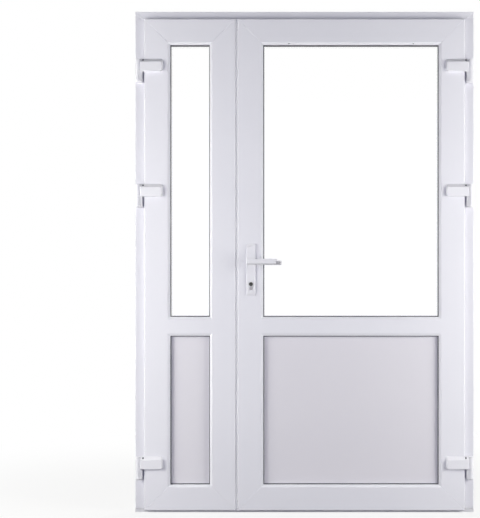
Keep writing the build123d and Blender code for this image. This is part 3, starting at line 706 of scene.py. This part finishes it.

# Nickel plate: a warm grey shine round the plug, whose dark grey is painted shade of the keyhole.
satin_nickel = lined_metal("satin_nickel", NICKEL, NICKEL_SHADE, TURNED_LINE_MM, NICKEL_ROUGH)
nickel_painted_shade = lined_metal("nickel_painted_shade", PLUG_PAINTED_SHADE, PLUG_PAINTED_DEEP_SHADE, TURNED_LINE_MM, PLUG_ROUGH)
coat(satin_nickel, "lock_cylinder")
cylinder_low, cylinder_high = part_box("lock_cylinder")
plug_x = (cylinder_low.x + cylinder_high.x) / 2
plug_z = cylinder_high.z - CYLINDER_RADIUS


def keyway(angle):
    """The radius of the upright keyway slot at an angle."""
    wide = KEYWAY_WIDE / 2 / max(abs(math.cos(angle)), NEAR_NOUGHT)
    tall = KEYWAY_TALL / 2 / max(abs(math.sin(angle)), NEAR_NOUGHT)
    return min(wide, tall)


# Plugs in the dark nickel that paints the shade of the keyhole.
bm = bmesh.new()
for plug_y, tilt in ((cylinder_low.y, 90), (cylinder_high.y, -90)):
    plug_turn = Matrix.Rotation(math.radians(tilt), 4, "X")
    plug_place = Matrix.Translation((plug_x, plug_y, plug_z)) @ plug_turn
    recessed_head(bm, PLUG_RADIUS, PLUG_RISE, PLUG_RIM, keyway, KEYWAY_DEPTH, plug_place)
new_piece("cylinder_plugs", bm, nickel_painted_shade, "right_leaf")


# Lever set: cast aluminium plates and levers with a white powder coating. A collar guides each
# neck, the square spindle joins the levers through the stile, and two screws from the back
# hold both plates.
HANDLE_WHITE = "#EEEDF1"
HANDLE_SHADE = "#EAE9EE"
HANDLE_TONE_MM = 70
HANDLE_ROUGH = (0.42, 0.52)
HANDLE_PEEL = 0.06
NECK_RADIUS = 0.0096
COLLAR_RADIUS = 0.0128
COLLAR_RISE = 0.0016
COLLAR_ROUND = 0.0006
PLATE_SCREW_TOP = 0.020
PLATE_SCREW_FOOT = 0.026
PLATE_SCREW_RADIUS = 0.0040

# A smooth white with a soft gloss along the rounded edges.
handle_coat = powder_coat(
    "handle_coat", HANDLE_WHITE, HANDLE_SHADE, HANDLE_TONE_MM, HANDLE_ROUGH, HANDLE_PEEL
)
coat(handle_coat, "front_handle_plate", "rear_handle_plate", "front_lever", "rear_lever")
front_plate_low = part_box("front_handle_plate")[0]
rear_plate_low, rear_plate_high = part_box("rear_handle_plate")
spindle_low, spindle_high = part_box("spindle")
neck_x = (spindle_low.x + spindle_high.x) / 2
neck_z = (spindle_low.z + spindle_high.z) / 2
collar_section = (
    (NECK_RADIUS, 0),
    (COLLAR_RADIUS, 0),
    (COLLAR_RADIUS, COLLAR_RISE - COLLAR_ROUND),
    (COLLAR_RADIUS - COLLAR_ROUND, COLLAR_RISE),
    (NECK_RADIUS, COLLAR_RISE),
)
bm = bmesh.new()
for face_y, tilt in ((front_plate_low.y, 90), (rear_plate_high.y, -90)):
    collar_turn = Matrix.Rotation(math.radians(tilt), 4, "X")
    collar_place = Matrix.Translation((neck_x, face_y, neck_z)) @ collar_turn
    turned(bm, collar_section, collar_place)
new_piece("neck_collars", bm, handle_coat, "right_leaf")

bm = bmesh.new()
for screw_z in (rear_plate_high.z - PLATE_SCREW_TOP, rear_plate_low.z + PLATE_SCREW_FOOT):
    screw_turn = Matrix.Rotation(math.radians(-90), 4, "X")
    screw_place = Matrix.Translation((neck_x, rear_plate_high.y, screw_z)) @ screw_turn
    recessed_head(
        bm, PLATE_SCREW_RADIUS, SCREW_RISE, SCREW_RIM, cross_recess, CROSS_DEPTH, screw_place
    )
new_piece("plate_screws", bm, zinc_steel, "right_leaf")


# Studio floor: a plain pale floor that fades into the white background but keeps the shadow.
# It throws little light back up, as the dim foot of the door shows.
FLOOR_PALE = "#F4F4F4"
FLOOR_DIM = "#7C7C7C"
FLOOR_HALF = 6.0
FADE_FROM = 0.8
FADE_TO = 2.4
FADE_LEAST = 0.76


def seen_directly(tree):
    """One where a ray comes from the camera, a reflection or through glass, and nought elsewhere."""
    path = add_node(tree, "ShaderNodeLightPath").outputs
    seen = path["Is Camera Ray"]
    for kind in ("Is Glossy Ray", "Is Transmission Ray"):
        rays = {0: seen, 1: path[kind]}
        seen = add_node(tree, "ShaderNodeMath", {"operation": "MAXIMUM"}, rays).outputs["Value"]
    return seen


bm = bmesh.new()
bmesh.ops.create_grid(bm, x_segments=1, y_segments=1, size=FLOOR_HALF)
floor_mesh = bpy.data.meshes.new("floor")
bm.to_mesh(floor_mesh)
bm.free()
floor = bpy.data.objects.new("floor", floor_mesh)
bpy.context.scene.collection.objects.link(floor)
pale_floor, tree, place = new_material("pale_floor")
seen = seen_directly(tree)
unseen = add_node(tree, "ShaderNodeMath", {"operation": "SUBTRACT"}, {0: 1.0, 1: seen})
floor_colour = two_tones(tree, unseen.outputs["Value"], FLOOR_PALE, FLOOR_DIM)
shade = add_node(tree, "ShaderNodeBsdfDiffuse", inputs={"Color": floor_colour})
glow = add_node(tree, "ShaderNodeEmission", inputs={"Color": (1, 1, 1, 1), "Strength": 1.0})
reach = add_node(tree, "ShaderNodeVectorMath", {"operation": "LENGTH"}, {0: place}).outputs["Value"]
fade_inputs = {
    "Value": reach,
    "From Min": FADE_FROM,
    "From Max": FADE_TO,
    "To Min": FADE_LEAST,
    "To Max": 1.0,
}
fade_settings = {"interpolation_type": "SMOOTHSTEP"}
fade = add_node(tree, "ShaderNodeMapRange", fade_settings, fade_inputs).outputs["Result"]
share = add_node(tree, "ShaderNodeMath", {"operation": "MULTIPLY"}, {0: seen, 1: fade}).outputs["Value"]
floor_parts = {0: share, 1: shade.outputs["BSDF"], 2: glow.outputs["Emission"]}
floor_mix = add_node(tree, "ShaderNodeMixShader", inputs=floor_parts)
add_node(tree, "ShaderNodeOutputMaterial", inputs={"Surface": floor_mix.outputs["Shader"]})
floor.data.materials.append(pale_floor)


# Studio light: a white surround that the camera, gloss and glass see, a wide softbox at each
# side at half height and a weak bluish light from the front. Two lamps behind light the back,
# and one above, behind the front faces, the top.
SURROUND_FILL = 0.01
world = bpy.data.worlds.new("studio")
world.use_nodes = True
bpy.context.scene.world = world
tree = world.node_tree
tree.nodes.clear()
fill = add_node(tree, "ShaderNodeBackground", inputs={"Color": (1, 1, 1, 1), "Strength": SURROUND_FILL})
white = add_node(tree, "ShaderNodeBackground", inputs={"Color": (1, 1, 1, 1), "Strength": 1.0})
world_parts = {0: seen_directly(tree), 1: fill.outputs["Background"], 2: white.outputs["Background"]}
world_mix = add_node(tree, "ShaderNodeMixShader", inputs=world_parts)
add_node(tree, "ShaderNodeOutputWorld", inputs={"Surface": world_mix.outputs["Shader"]})
lamps = {
    "left_softbox": ((-2.3, -1.25, 1.1), (-0.4, 0.0, 1.1), (1.3, 1.9), 60, (1.0, 1.0, 0.96)),
    "right_softbox": ((2.3, -1.25, 1.1), (0.4, 0.0, 1.1), (1.3, 1.9), 60, (1.0, 1.0, 0.96)),
    "front_fill": ((0.0, -5.5, 1.3), (0.0, 0.0, 1.1), (4.0, 2.5), 25, (0.29, 0.34, 1.0)),
    "left_back_lamp": ((-1.2, 3.2, 1.4), (-0.2, 0.0, 1.1), (1.4, 1.2), 42, (1.0, 1.0, 0.97)),
    "right_back_lamp": ((1.2, 3.2, 1.4), (0.2, 0.0, 1.1), (1.4, 1.2), 42, (1.0, 1.0, 0.97)),
    "top_lamp": ((0.0, 0.7, 3.6), (0.0, 0.1, 2.0), (1.8, 0.5), 14, (1.0, 1.0, 0.97)),
}
for name, (spot, aim, size, watts, colour) in lamps.items():
    lamp = bpy.data.lights.new(name, "AREA")
    lamp.shape = "RECTANGLE"
    lamp.size, lamp.size_y = size
    lamp.energy = watts
    lamp.color = colour
    lamp_object = bpy.data.objects.new(name, lamp)
    turn = (Vector(aim) - Vector(spot)).to_track_quat("-Z", "Y").to_matrix().to_4x4()
    lamp_object.matrix_world = Matrix.Translation(spot) @ turn
    # A bright lamp seen past a pane's edge would wash out the thin line of the gasket.
    lamp_object.visible_camera = False
    lamp_object.visible_transmission = False
    bpy.context.scene.collection.objects.link(lamp_object)


# Camera: straight on, a little below half height, with the frame shifted so that the uprights
# stay upright and the door stands right of the middle.
PIXEL_MM = 4.138
PHOTO_WIDTH = 480
PHOTO_HEIGHT = 518
DOOR_MIDDLE_PX = 304.5
GROUND_PX = 512
HORIZON_PX = 275
CAMERA_DISTANCE = 4.5
SENSOR_MM = 36
camera = bpy.data.cameras.new("camera")
camera.sensor_width = SENSOR_MM
camera.lens = SENSOR_MM * CAMERA_DISTANCE * 1000 / PIXEL_MM / PHOTO_HEIGHT
camera.shift_x = (PHOTO_WIDTH / 2 - DOOR_MIDDLE_PX) / PHOTO_HEIGHT
camera.shift_y = (HORIZON_PX - PHOTO_HEIGHT / 2) / PHOTO_HEIGHT
camera_object = bpy.data.objects.new("camera", camera)
camera_height = (GROUND_PX - HORIZON_PX) * PIXEL_MM / 1000
camera_object.location = (0, jamb_low.y - CAMERA_DISTANCE, camera_height)
camera_object.rotation_euler = (math.radians(90), 0, 0)
bpy.context.scene.collection.objects.link(camera_object)
bpy.context.scene.camera = camera_object
bpy.context.scene.view_settings.view_transform = "Standard"
